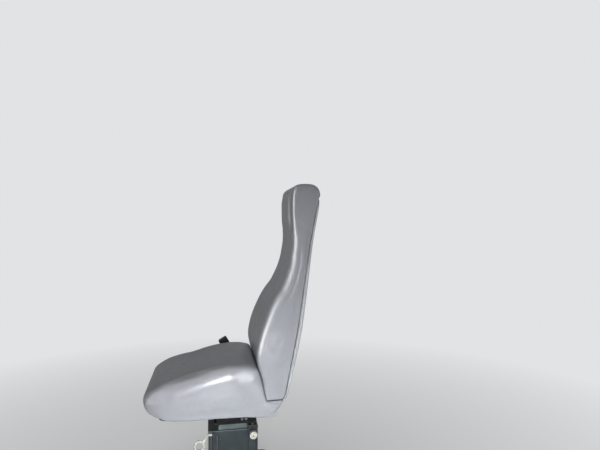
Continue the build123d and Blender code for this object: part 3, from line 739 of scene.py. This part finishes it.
def eased(piece, spots, least_x):
    """Evens out a cushion's points round some spots of both sides, each given as y, z and a reach in mm. A
    pass is a share of that reach and a number of repeats."""
    bm = bmesh.new()
    bm.from_mesh(piece.data)
    for y, z, reach in spots:
        for share, repeats in EASING_PASSES:
            outer = [vert for vert in bm.verts if abs(vert.co.x) > least_x * MM]
            near = [v for v in outer if math.hypot(v.co.y - y * MM, v.co.z - z * MM) < reach * share * MM]
            for _ in range(repeats):
                bmesh.ops.smooth_vert(bm, verts=near, factor=0.5, **ALL_WAYS)
    bm.to_mesh(piece.data)
    bm.free()


SEAT_RADII = [(52, 58), (34, 10), (7, 6), (5, 5), (5, 8), (9, 18), (26, 52)]
seat_radii = edge_radii(seat_edges, SEAT_RADII)
seat = cushion("seat_cover", seat_edges, seat_radii, seat_half_width, 22, seat_side, 6.0)
REAR_CORNER_SPOT = (48, 462, 62)
NOSE_SPOT = (-285, 398, 66)
eased(seat, [REAR_CORNER_SPOT, NOSE_SPOT], 222)
print("seat cover:", len(seat.data.vertices), "points")

# %% [markdown]
# ## The back cushion
# Seen from the side it leans back to the head, and the front swells at the lumbar. Seen from the front it
# is straight to the shoulders and narrows to the head. The edge is tight against the seat, wide at the
# shoulders and tight again round the head. Its rear corners are rounded enough to leave a groove along the
# shell for the bead.

# %% Back cushion: outline and widths
BACK_TOE = (120.6, 382.3)
BROW = (242.0, 1208.0)
NAPE = (357.0, 1186.0)
FOOT = (193.4, 397.2)
FOOT_REAR = (184.6, 382.3)
FRONT_LINE = [
    BACK_TOE, (118.4, 391), (114.6, 410), (108.8, 441), (102.4, 470), (92.5, 500), (85, 528), (83, 556),
    (88, 592), (97, 628), (111, 668), (127, 706), (144, 742), (164, 775), (186, 805), (204, 842), (219, 880),
    (229, 915), (235, 955), (238, 1005), (238, 1060), (236.5, 1120), (237, 1170), BROW,
]
CROWN_LINE = [BROW, (251, 1221), (268, 1229), (300, 1233), (330, 1229), (346, 1217), (354, 1201), NAPE]
SHELL_LIP = (348, 1165)
back_front = through(FRONT_LINE, 121)
back_crown = through(CROWN_LINE, 17)
over_lip = through([NAPE, (356, 1178), (351.5, 1172), SHELL_LIP], 5)
along_shell = straight([SHELL_LIP, FOOT], 115)
back_rear = np.concatenate([over_lip[:-1], along_shell[:-1], straight([FOOT, FOOT_REAR], 3)])
back_below = straight([FOOT_REAR, BACK_TOE], 17)
back_edges = [back_front, back_crown, back_rear, back_below]
BACK_HALF = 240.0
HEAD_HALF = 150.0
TAPER_START = 650.0
TAPER_END = 990.0
TAPER_EASE = 20.0
CORNER_HEIGHT = 1198.0
CORNER_R = 36.0


def past(height, start):
    """How far a height is past the start, growing from 0 in a soft bend."""
    above = height - start
    return (above + np.sqrt(above**2 + TAPER_EASE**2)) / 2


def back_half_width(outline):
    """Half the backrest's width at each outline point: a taper with soft bends, and round top corners."""
    height = outline[:, 1]
    tapered = (past(height, TAPER_START) - past(height, TAPER_END)) / (TAPER_END - TAPER_START)
    above = np.clip((height - CORNER_HEIGHT) / CORNER_R, 0, 1)
    return BACK_HALF - (BACK_HALF - HEAD_HALF) * tapered - CORNER_R * (1 - np.sqrt(1 - above**2))


def back_side(pieces):
    """The one patch that fills the backrest's side."""
    front, crown, rear, below = pieces
    return [patch(front, rear[::-1], below[::-1], crown)]


RADIUS_HEIGHTS = (382, 400, 430, 480, 530, 600, 700, 780, 850, 900, 1000, 1080, 1208)
FRONT_RADII = (6, 8, 11, 20, 28, 33, 38, 41, 40, 37, 30, 19, 16)
CROWN_RADIUS = 22.0
front_radius = np.interp(back_front[:, 1], RADIUS_HEIGHTS, FRONT_RADII)
rear_radius = np.interp(back_rear[:, 1], (382, 1150, 1186), (9, 9, 20))
below_radius = np.linspace(9, 6, len(back_below))
crown_radius = np.full(len(back_crown), CROWN_RADIUS)
back_radius = [radii[:-1] for radii in (front_radius, crown_radius, rear_radius, below_radius)]
back_radius = blended(np.concatenate(back_radius))
back = cushion("back_cover", back_edges, back_radius, back_half_width, 24, back_side, 4.0)
print("back cover:", len(back.data.vertices), "points")


# %% Settle both covers
HELD_BELOW = 345
HEEL_START = 96
HEEL_HELD_BELOW = 360
SHELL_FACE = (200, 397)
SHELL_LEAN = 0.2
SHELL_HOLD = 14
TOE_HELD_BELOW = 390


def on_hard_parts(points):
    """The seat cover's points that lie on the board and the shell."""
    y, z = points[:, 1], points[:, 2]
    return (z < HELD_BELOW) | ((y > HEEL_START) & (z < HEEL_HELD_BELOW))


def shell_rear(z):
    """Where the shell's rear face lies at a height, in mm."""
    return SHELL_FACE[0] + SHELL_LEAN * (z - SHELL_FACE[1])


def on_shell(points):
    """The back cover's points that lie on the shell and on the heel."""
    y, z = points[:, 1], points[:, 2]
    return (y > shell_rear(z) - SHELL_HOLD) | (z < TOE_HELD_BELOW)


settled(seat, on_hard_parts, 2.0, 3.0, 0.004)
settled(back, on_shell, 1.2, 2.0, 0.002)
seat.data = with_modifier(seat, "SUBSURF", levels=1)
back.data = with_modifier(back, "SUBSURF", levels=1)

# %% [markdown]
# ## What use has done to the cushions
# Years of sitters leave a hollow at the rear of the seat, and soft dents where hands and knees press its
# sides. At the heel the cover is pulled round a corner, and short folds fan out from the toe of the
# backrest. Noise would spread these evenly, so each is placed one by one, or drawn from a seeded list, and
# pushed along the normals.

# %% Hollows, dents and folds of the seat
random_marks = np.random.default_rng(7)
SITTING_HOLLOW = ((0, -20, 505), (150, 150, 60), 7.0)
FRONT_SWELL = ((0, -300, 440), (160, 60, 60), -1.5)
SIDE_DENTS = 64
TOP_DENTS = 26
seat_dents = [SITTING_HOLLOW, FRONT_SWELL]
for _ in range(SIDE_DENTS):
    hand = random_marks.choice((-1, 1))
    place = (hand * 248, random_marks.uniform(-300, 80), random_marks.uniform(345, 460))
    wide = random_marks.uniform(20, 42)
    high = wide * random_marks.uniform(0.55, 0.9)
    seat_dents.append((place, (30, wide, high), random_marks.uniform(-1.1, 2.4)))
for _ in range(TOP_DENTS):
    place = (random_marks.uniform(-190, 190), random_marks.uniform(-330, 40), 470)
    wide = random_marks.uniform(18, 42)
    seat_dents.append((place, (wide, wide, 90), random_marks.uniform(-0.7, 1.3)))
dented(seat, seat_dents)

HEEL_FOLDS = [
    ([(119, 377), (140, 369), (164, 366), (180, 372)], 4.5, 3.4),
    ([(118, 374), (132, 362), (148, 355), (166, 356)], 5.0, 4.6),
    ([(115, 370), (125, 354), (137, 344), (150, 340)], 5.0, 4.2),
    ([(110, 366), (114, 352), (122, 338), (131, 331)], 5.5, 3.2),
    ([(60, 352), (84, 345), (104, 344), (122, 350)], 7.0, 2.2),
]
REAR_FOLD = ([(-34, 58, 511), (-12, 72, 511), (6, 84, 507), (14, 91, 499)], 5.0, 2.6)
for hand in (1, -1):
    folded(seat, [([(hand * SEAT_HALF, y, z) for y, z in line], *sizes) for line, *sizes in HEEL_FOLDS])
folded(seat, [REAR_FOLD])

# %% Hollow of the back, and its head pad
BACK_HOLLOW = ((0, 95, 600), (125, 80, 130), 7.0)
UPPER_HOLLOW = ((0, 150, 750), (150, 80, 60), 2.0)
dented(back, [BACK_HOLLOW, UPPER_HOLLOW])
PAD_HALF = 96.0
PAD_BOTTOM = 1010.0
PAD_TOP = 1194.0
PAD_CORNER = 42.0
PAD_RISE = 7.5
PAD_SLOPE = 15.0
GROOVE_DEPTH = 3.0
GROOVE_HALF = 4.5
GROOVE_AWAY = 3.0
points, normals = points_of(back), points_of(back, "normal")
across = np.abs(points[:, 0]) - (PAD_HALF - PAD_CORNER)
up = np.abs(points[:, 2] - (PAD_TOP + PAD_BOTTOM) / 2) - ((PAD_TOP - PAD_BOTTOM) / 2 - PAD_CORNER)
beyond = np.hypot(np.maximum(across, 0), np.maximum(up, 0))
outside = beyond + np.minimum(np.maximum(across, up), 0) - PAD_CORNER
front_facing = fade(-normals[:, 1], 0.45, 0.8) * fade(points[:, 2], PAD_BOTTOM - 10, PAD_BOTTOM + 75)
groove = GROOVE_DEPTH * np.exp(-(((outside - GROOVE_AWAY) / GROOVE_HALF) ** 2))
raised = PAD_RISE * fade(-outside, 0, PAD_SLOPE) - groove
set_points(back, points + normals * (raised * front_facing)[:, None])

# %% [markdown]
# Under the seat the board is sunk into the foam, so the cover's underside steps up over it.

# %% Recess for the board
board_low, board_high = (np.array(corner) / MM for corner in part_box("seat_board"))
BOARD_ROOM = 1.5
ceiling = board_high[2] + 0.6
points = points_of(seat)
x, y, z = points.T
over_board = (np.abs(x) < board_high[0] + BOARD_ROOM) & (z < ceiling)
over_board &= (y > board_low[1] - BOARD_ROOM) & (y < board_high[1] + BOARD_ROOM)
points[over_board, 2] = ceiling
set_points(seat, points)
print("points over the board:", int(over_board.sum()))

for piece, node in ((seat, "seat_cushion"), (back, "back_cushion")):
    piece.data.materials.append(cover_vinyl)
    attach(piece, "seat")
    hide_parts(node)

# %% [markdown]
# ## The edge bead
# A pale bead covers the shell's raw edge. It runs from under the heel, up both sides and over the head. A
# curve with a round section is the plain way to make a bead: the path is the shell's own edge, half a
# thickness inside its outer face.

# %% Bead along the shell
BEAD_R = 3.7
SHELL_HALF = 237.0
SHELL_CORNER = 52.0
BEAD_HALF = SHELL_HALF + 0.6
BEAD_TOP = 1171.5
BEAD_INSIDE = 2.5


def round_tube(name, paths, finish, roundness=3):
    """Tubes with a round section, as one mesh. Each path is a list of places and radii in mm."""
    curve = bpy.data.curves.new(name, "CURVE")
    curve.dimensions = "3D"
    curve.bevel_depth = MM
    curve.bevel_resolution = roundness
    curve.use_fill_caps = True
    for path in paths:
        spline = curve.splines.new("POLY")
        spline.points.add(len(path) - 1)
        for point, (place, radius) in zip(spline.points, path):
            point.co = (*(np.array(place) * MM), 1.0)
            point.radius = radius
    drawn = placed(name, curve)
    mesh = bpy.data.meshes.new_from_object(evaluated(drawn))
    bpy.data.objects.remove(drawn)
    for face in mesh.polygons:
        face.use_smooth = True
    mesh.materials.clear()
    mesh.materials.append(finish)
    made = placed(name, mesh)
    return made


UNDER_HEEL = [(84, 317.5), (110, 317.5), (128, 318), (141, 321.5), (153, 329.5), (164, 341), (180, 368)]
BEHIND_HEEL = [UNDER_HEEL[-1], (193, 390)]
UP_SHELL = [BEHIND_HEEL[-1], (197.3, 399), (200.5, 411), (352.4, BEAD_TOP)]
runs = [through(UNDER_HEEL, 40)[:-1], straight(BEHIND_HEEL, 8)[:-1], through(UP_SHELL, 160)]
edge_line = np.concatenate(runs)
edge_half = back_half_width(edge_line) - BACK_HALF + BEAD_HALF
side_path = [(half, y, z) for half, (y, z) in zip(edge_half, edge_line) if z < BEAD_TOP - SHELL_CORNER]
arc = []
for turn in np.linspace(0, math.pi / 2, 14):
    height = BEAD_TOP - SHELL_CORNER * (1 - math.sin(turn))
    half = HEAD_HALF - BACK_HALF + BEAD_HALF - SHELL_CORNER * (1 - math.cos(turn))
    arc.append((half, shell_rear(height) - BEAD_INSIDE, height))
half_path = side_path + arc
path = half_path + [(-x, y, z) for x, y, z in reversed(half_path)]
bead = round_tube("edge_bead", [[(place, BEAD_R) for place in path]], bead_vinyl)
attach(bead, "seat")
print("edge bead:", len(path), "path points")

# %% [markdown]
# ## Screws and bolts
# Fasteners tell the eye how big a thing is. The shell is held to the two uprights by screws with broad
# washers, the board to the cushion by four screws, and the belt stalk by a bolt. Such heads are turned, so
# each is drawn as a list of rings, from its foot to its middle. A hexagon is a ring whose radius changes
# round the turn.

# %% Screws and bolts
RING_POINTS = 24
ROUND, SIX_SIDED = False, True
WASHER = [(0, 0, ROUND), (10, 0, ROUND), (10, 0.8, ROUND), (9.6, 1.2, ROUND)]
DOME = [(6.3, 1.2, ROUND), (6.2, 2.0, ROUND), (5.4, 3.2, ROUND), (4.0, 4.0, ROUND), (2.6, 4.2, ROUND)]
SOCKET = [(2.6, 4.0, SIX_SIDED), (2.6, 2.2, SIX_SIDED), (0, 2.0, ROUND)]
SOCKET_SCREW = WASHER + DOME + SOCKET
BOLT_WASHER = [(0, 0, ROUND), (11, 0, ROUND), (11, 1.2, ROUND), (10.6, 1.6, ROUND)]
HEX_BOLT = BOLT_WASHER + [(9.2, 1.6, SIX_SIDED), (9.2, 6.4, SIX_SIDED), (7.9, 7.4, ROUND), (0, 7.4, ROUND)]


def turned_heads(name, rings, places, facing, finish):
    """Heads at several places in mm, all facing one way. Each ring is a radius, a height and its kind."""
    around = np.arange(RING_POINTS + 1) * math.tau / RING_POINTS
    flats = math.cos(math.pi / 6) / np.cos(around % (math.pi / 3) - math.pi / 6)
    turn = np.array(Vector(facing).to_track_quat("Z", "Y").to_matrix())
    bm = bmesh.new()
    for place in places:
        grid = []
        for radius, height, kind in rings:
            reach = radius * (flats if kind == SIX_SIDED else np.ones_like(around))
            ring = [reach * np.cos(around), reach * np.sin(around), np.full_like(around, height)]
            grid.append(np.column_stack(ring) @ turn.T + place)
        grid_faces(bm, np.array(grid) * MM)
    bmesh.ops.remove_doubles(bm, verts=bm.verts, dist=SAME_POINT)
    heads = new_piece(name, bm)
    heads.data.set_sharp_from_angle(angle=math.radians(32))
    heads.data.materials.append(finish)
    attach(heads, "seat")
    print(name, "heads:", len(places))


IRON_X = 110.0
shell_places = [(hand * IRON_X, shell_rear(z), z) for z in (480, 640, 800) for hand in (1, -1)]
turned_heads("shell_screws", SOCKET_SCREW, shell_places, (0, 1, -SHELL_LEAN), fastener_steel)
BOARD_SCREW_X = 188.0
board_places = [(hand * BOARD_SCREW_X, y, board_low[2]) for y in (-262, 96) for hand in (1, -1)]
turned_heads("board_screws", SOCKET_SCREW, board_places, (0, 0, -1), fastener_steel)
STALK_FOOT = (-259.0, 64.0, 344.0)
turned_heads("stalk_bolt", HEX_BOLT, [STALK_FOOT], (-1, 0, 0), fastener_steel)

# %% [markdown]
# The belt buckle has a red push button at its end. It is a small block with rounded edges, turned as the
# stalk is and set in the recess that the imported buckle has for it.

# %% Push button
STALK_UP = Vector((0, -86, 148)).normalized()
BUCKLE_MIDDLE = Vector((-257, -22, 492))
BUTTON_SIDES = Vector((14.2, 27.2, 2.0))
BUTTON_EDGE = 0.7
button_middle = BUCKLE_MIDDLE + STALK_UP * 23.5 + Vector((-8.5, 0, 0))
bm = bmesh.new()
bmesh.ops.create_cube(bm, size=1.0)
bmesh.ops.scale(bm, vec=BUTTON_SIDES * MM, verts=bm.verts)
bmesh.ops.bevel(bm, geom=bm.edges, offset=BUTTON_EDGE * MM, segments=3, affect="EDGES", profile=0.5)
button = new_piece("buckle_button", bm)
button.data.materials.append(red_plastic)
facing = Vector((-1, 0, 0))
turn = Matrix((STALK_UP, facing.cross(STALK_UP), facing)).transposed().to_4x4()
button.matrix_world = Matrix.Translation(button_middle * MM) @ turn
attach(button, "seat")

# %% [markdown]
# ## Welds
# The four gussets and the box are welded to the floor plate. A weld is a row of small scales that the
# welder lays one over another, so it is a bead whose radius ripples along its path, under the same paint as
# the plates.

# %% Welds of the pedestal
WELD_R = 2.0
SCALE_LENGTH = 3.4
WELD_STEP = 0.85
PLATE_TOP = 8.0
BOX_HALVES = (110.0, 100.0)
BOX_CORNER = 12.0
GUSSET_HALF = 2.5
WELD_LIFT = 0.7


def weld(points):
    """The places and radii of a weld along a line."""
    length = run_along(np.array(points, float))[-1]
    line = straight(points, int(length / WELD_STEP))
    along = np.linspace(0, length, len(line))
    ripple = 0.78 + 0.22 * np.abs(np.sin(np.pi * along / SCALE_LENGTH)) + 0.05 * np.sin(along / 9.0)
    return list(zip(line, WELD_R * ripple))


weld_paths = []
level = PLATE_TOP + WELD_LIFT
for axis, wall in enumerate(BOX_HALVES):
    for hand, side in ((1, 1), (1, -1), (-1, 1), (-1, -1)):
        beside = side * (GUSSET_HALF + WELD_LIFT)
        upright = [(hand * (wall + WELD_LIFT), beside, z) for z in (11, 75)]
        foot = [(hand * (wall + out), beside, level) for out in (3, 43)]
        for line in (upright, foot):
            weld_paths.append(weld([(x, y, z) if axis == 0 else (y, x, z) for x, y, z in line]))
half_x, half_y = (half + WELD_LIFT for half in BOX_HALVES)
turns = np.linspace(0, math.pi / 2, 7)
quarter = [(half_x - BOX_CORNER * (1 - math.cos(t)), half_y - BOX_CORNER * (1 - math.sin(t))) for t in turns]
mirrored = [(-x, y) for x, y in reversed(quarter)]
outline = quarter + mirrored + [(-x, -y) for x, y in quarter] + [(-x, -y) for x, y in mirrored]
weld_paths.append(weld([(x, y, level) for x, y in outline + outline[:1]]))
welds = round_tube("welds", weld_paths, base_paint, 1)
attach(welds, "pedestal")
print("welds:", len(weld_paths), "faces:", len(welds.data.polygons))

# %% [markdown]
# ## Floor and light
# The floor is pale, and fades with distance into a surround of the same tone, so that no horizon line
# shows. The fade is an emission that only camera, mirror and glass rays see: it puts no light on the seat,
# and the seat keeps its shadow on the floor.

# %% Floor
BACKDROP = linear(226, 227, 228)
MIRRORED_SHARE = 0.25


def seen_directly(tree):
    """A mask of the rays that look at the background, straight or by way of metal and glass."""
    ray = add_node(tree, "LightPath")
    mirrored = times(tree, ray.outputs["Is Glossy Ray"], ray.outputs["Is Transmission Ray"], "MAXIMUM")
    return times(tree, ray.outputs["Is Camera Ray"], times(tree, mirrored, MIRRORED_SHARE), "MAXIMUM")


FLOOR_R = 14
FLOOR_Z = -0.0005
bpy.ops.mesh.primitive_circle_add(vertices=96, radius=FLOOR_R, fill_type="NGON", location=(0, 0, FLOOR_Z))
floor = bpy.context.object
floor.name = "floor"
material, tree, shader = new_finish("pale_floor", Roughness=0.8)
speckle = use_group(tree, "broad_patches", Size=0.4, Contrast=0.5)["Mask"]
wire(tree, shader, mixed(tree, speckle, linear(216, 216, 214), linear(222, 222, 220)))
distance = add_node(tree, "VectorMath", {0: place_on(tree)}, operation="LENGTH")
far = ranged(tree, distance.outputs["Value"], 0.45, 1.0, 0.3, 2.6)
glow = add_node(tree, "Emission", {"Color": BACKDROP, "Strength": 1.0})
blend = {"Fac": times(tree, far, seen_directly(tree)), 1: shader.outputs[0], 2: glow.outputs[0]}
mix = add_node(tree, "MixShader", blend)
surface_output = next(node for node in tree.nodes if node.type == "OUTPUT_MATERIAL")
tree.links.new(mix.outputs[0], surface_output.inputs["Surface"])
floor.data.materials.append(material)

# %% World
world = bpy.data.worlds.new("surround")
scene.world = world
world.use_nodes = True
tree = world.node_tree
for node in list(tree.nodes):
    tree.nodes.remove(node)
ambient = add_node(tree, "Background", {"Color": linear(228, 232, 238), "Strength": 0.07})
shown = add_node(tree, "Background", {"Color": BACKDROP, "Strength": 1.0})
blend = {"Fac": seen_directly(tree), 1: ambient.outputs[0], 2: shown.outputs[0]}
mix = add_node(tree, "MixShader", blend)
add_node(tree, "OutputWorld", {"Surface": mix.outputs[0]})


# %% [markdown]
# Daylight comes in low from one side, so that side of the seat is bright and its top and front are not.
# Cycles can let a lamp light only the colour of a surface or only its gloss, so the two are set apart here.
# A wide and a narrow lamp at the side light the colour. Their mirror images would lie on the vinyl as pale
# patches, so they have none. The highlights come from lamps that light gloss only. A wide strip in front
# runs along the rounded edge of the back, and a thin one with a narrow beam draws a line on the crest of
# the seat. Seen from behind, the seat's flat top would mirror the front strip as a white sheet, so light
# linking keeps the strip off it, and a weak lamp does its work there. Lamps above, behind and on the far
# side keep the other sides readable.

# %% Lamps
def soft_lamp(name, place, aim, width, height, power, colour=(1, 1, 1), beam=180, lights="both"):
    """A soft lamp that isn't itself seen, at a place, aimed at a point, its beam in degrees. It lights the
    colour and the gloss of a surface, or only one of them."""
    lamp = placed(name, bpy.data.lights.new(name, "AREA"))
    lamp.data.shape = "RECTANGLE"
    lamp.data.size = width
    lamp.data.size_y = height
    lamp.data.energy = power
    lamp.data.color = colour
    lamp.data.spread = math.radians(beam)
    lamp.location = place
    lamp.rotation_euler = (Vector(aim) - Vector(place)).to_track_quat("-Z", "Y").to_euler()
    lamp.visible_camera = False
    lamp.visible_diffuse = lights != "gloss"
    lamp.visible_glossy = lights != "colour"
    return lamp


COOL = (0.96, 0.98, 1.0)
HEAD_EDGE = (0.2, 0.15, 0.80)
soft_lamp("wide_side_light", (2.10, 0.30, 0.66), (0.2, 0.05, 0.5), 2.0, 1.2, 10.5, COOL, 180, "colour")
soft_lamp("low_side_light", (1.70, -0.08, 0.36), (0.24, -0.04, 0.38), 0.5, 0.4, 3.4, COOL, 70, "colour")
front_strip = soft_lamp("front_strip", (0.95, -1.25, 1.20), HEAD_EDGE, 1.2, 1.9, 38, COOL, 130, "gloss")
kept_off = bpy.data.collections.new("kept_off")
kept_off.objects.link(seat)
kept_off.collection_objects[0].light_linking.link_state = "EXCLUDE"
front_strip.light_linking.receiver_collection = kept_off
soft_lamp("nose_light", (0.95, -1.60, 0.75), (0.2, -0.1, 0.45), 0.8, 0.8, 3, COOL, 130, "gloss")
soft_lamp("edge_strip", (1.75, -0.12, 1.56), (0.238, -0.05, 0.480), 0.75, 0.05, 0.38, COOL, 8, "gloss")
soft_lamp("roof_light", (0.10, -0.60, 2.30), (0.0, 0.0, 0.4), 1.2, 1.2, 7)
soft_lamp("rear_light", (0.9, 2.6, 1.3), (0.1, 0.2, 0.7), 0.5, 1.4, 7)
soft_lamp("far_light", (-2.4, 1.4, 1.2), (0.0, 0.0, 0.6), 1.6, 1.6, 6)
scene.view_settings.view_transform = "Standard"
